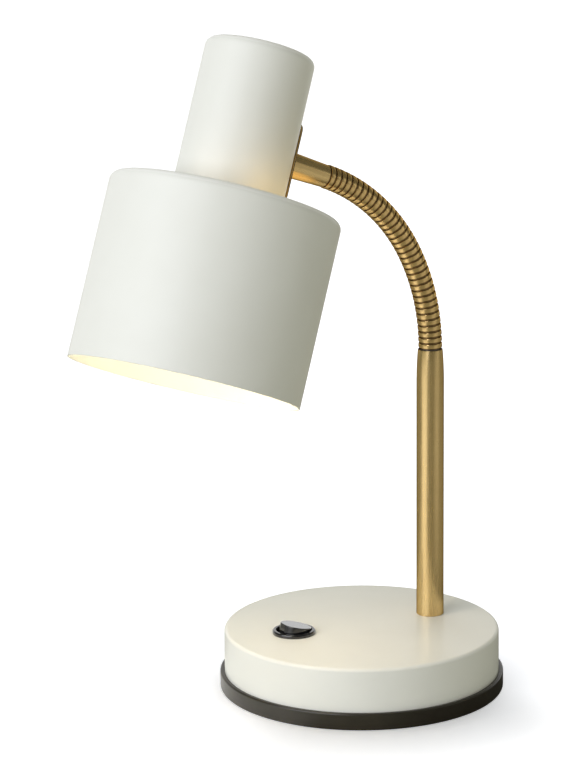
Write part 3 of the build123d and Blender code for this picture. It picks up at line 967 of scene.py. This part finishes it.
def world():
    """White surroundings to the eye, a white backdrop in reflections and a quiet warm fill."""
    studio = bpy.data.worlds.new("studio")
    bpy.context.scene.world = studio
    made = Tree(studio)
    rays = made.node("ShaderNodeLightPath").outputs
    direction = made.node("ShaderNodeTexCoord").outputs["Generated"]
    background = made.tree.nodes["Background"]
    background.inputs["Color"].default_value = (1, 1, 1, 1)
    quiet = made.node("ShaderNodeBackground", Color=fill_colour)
    dim = made.math("MULTIPLY", rays["Is Glossy Ray"], fill - fill_mirrored)
    made.link(made.math("SUBTRACT", fill, dim), quiet.inputs["Strength"])
    low = made.along(direction, (0, 0, -1), start=-0.6, end=-0.2)
    backdrop = made.math("MULTIPLY", made.along(direction, behind, start=0.35, end=0.8), low)
    white = made.math("MAXIMUM", rays["Is Camera Ray"], rays["Is Transmission Ray"])
    white = made.math("MAXIMUM", white, made.math("MULTIPLY", rays["Is Glossy Ray"], backdrop))
    choice = made.node("ShaderNodeMixShader")
    made.link(white, choice.inputs[0])
    made.link(quiet.outputs[0], choice.inputs[1])
    made.link(background.outputs[0], choice.inputs[2])
    made.link(choice.outputs[0], made.tree.nodes["World Output"].inputs["Surface"])


def softbox(name, where, target, size, watts, colour):
    """Rectangular area lamp that faces a point."""
    data = bpy.data.lights.new(name, "AREA")
    data.shape = "RECTANGLE"
    data.size, data.size_y = size
    data.energy = watts
    data.color = colour
    lamp = new_object(name, data)
    lamp.location = where
    lamp.rotation_mode = "QUATERNION"
    lamp.rotation_quaternion = (Vector(target) - Vector(where)).to_track_quat("-Z", "Y")
    return lamp


def keep_off(lamp, obj):
    """Let a lamp light everything but one object."""
    lit = bpy.data.collections.new(f"{lamp.name}_receivers")
    lamp.light_linking.receiver_collection = lit
    lit.objects.link(obj)
    lit.collection_objects[0].light_linking.link_state = "EXCLUDE"


def bulb_light(name, where, towards, size, watts, spread, colour):
    """Warm light of the bulb, as a small lamp in the head's frame that moves with it; millimetres."""
    start = Vector(where) * MM
    lamp = softbox(name, start, start + Vector(towards), Vector(size) * MM, watts, colour)
    lamp.data.spread = radians(spread)
    lamp.parent = bpy.data.objects["opal_bulb"]
    lamp.visible_camera = False
    lamp.visible_glossy = False
    return lamp


def studio_lamps(ground):
    """Large key on the left, a faint lamp on the right and one high up behind the object."""
    key = softbox(
        "key",
        where=(-1.53, -0.5, 0.84),
        target=lamp_middle,
        size=(1.7, 1.3),
        watts=25.5,
        colour=(0.94, 0.965, 1.06),
    )
    softbox(
        "side",
        where=(1.0, -0.9, 0.4),
        target=lamp_middle,
        size=(0.5, 0.6),
        watts=0.5,
        colour=(1.0, 0.98, 0.9),
    )
    top = softbox(
        "top",
        where=(0.42, 0.79, 1.5),
        target=lamp_middle,
        size=(1.2, 1.2),
        watts=6.4,
        colour=(0.94, 0.97, 1.0),
    )
    top.visible_glossy = False
    keep_off(key, ground)


def bulb_lamps(ground):
    """The beam that the bulb throws on the base, and the glow round the foot of the cup."""
    beam = bulb_light(
        "beam",
        where=(0, 0, 4),
        towards=(0.82, 0, -0.57),
        size=(40, 40),
        watts=0.019,
        spread=90,
        colour=(1.0, 0.7, 0.36),
    )
    keep_off(beam, ground)
    spill_reach = cup_radius + 18
    spill_height = Vector((0, 0, drum_height + 2))
    spill_rise = Vector((0, 0, 0.7))
    for turn, watts in ((-140, 0.0006), (-88, 0.0021), (-42, 0.0021)):
        outward = Vector((cos(radians(turn)), sin(radians(turn)), 0))
        spill = bulb_light(
            f"spill_{turn}",
            where=outward * spill_reach + spill_height,
            towards=spill_rise - outward,
            size=(26, 6),
            watts=watts,
            spread=180,
            colour=leak_colour,
        )
        keep_off(spill, bpy.data.objects["drum_shade"])
    pool_reach = cup_radius + 16
    pool_height = drum_height + 1.5
    pool = bulb_light(
        "pool",
        where=(pool_reach, 0, pool_height),
        towards=(0, 0, 1),
        size=(26, 40),
        watts=0.0023,
        spread=180,
        colour=leak_colour,
    )
    pool.visible_glossy = True


def camera():
    """Camera at the photograph's viewing angle: round the base, then yaw, pitch and roll."""
    around = radians(29.53)
    distance = 1.5
    height = 0.51903
    yaw = radians(-1.54)
    pitch = radians(-13.07)
    roll = radians(-0.61)
    sideways = Vector((cos(around), -sin(around), 0))
    away = Vector((sin(around), cos(around), 0))
    look = (sideways * sin(yaw) + away * cos(yaw)) * cos(pitch) + Vector((0, 0, sin(pitch)))
    level = sideways * cos(yaw) - away * sin(yaw)
    upright = level.cross(look)
    across = level * cos(roll) + upright * sin(roll)
    upward = upright * cos(roll) - level * sin(roll)
    where = away * -distance + Vector((0, 0, height))
    rows = [[across[i], upward[i], -look[i], where[i]] for i in range(3)]
    data = bpy.data.cameras.new("camera")
    data.lens = 136.055
    data.sensor_width = 36.0
    bpy.context.scene.camera = new_object("camera", data, Matrix(rows + [[0, 0, 0, 1]]))


ground = floor()
world()
studio_lamps(ground)
bulb_lamps(ground)
camera()

bpy.context.scene.view_settings.view_transform = "Standard"
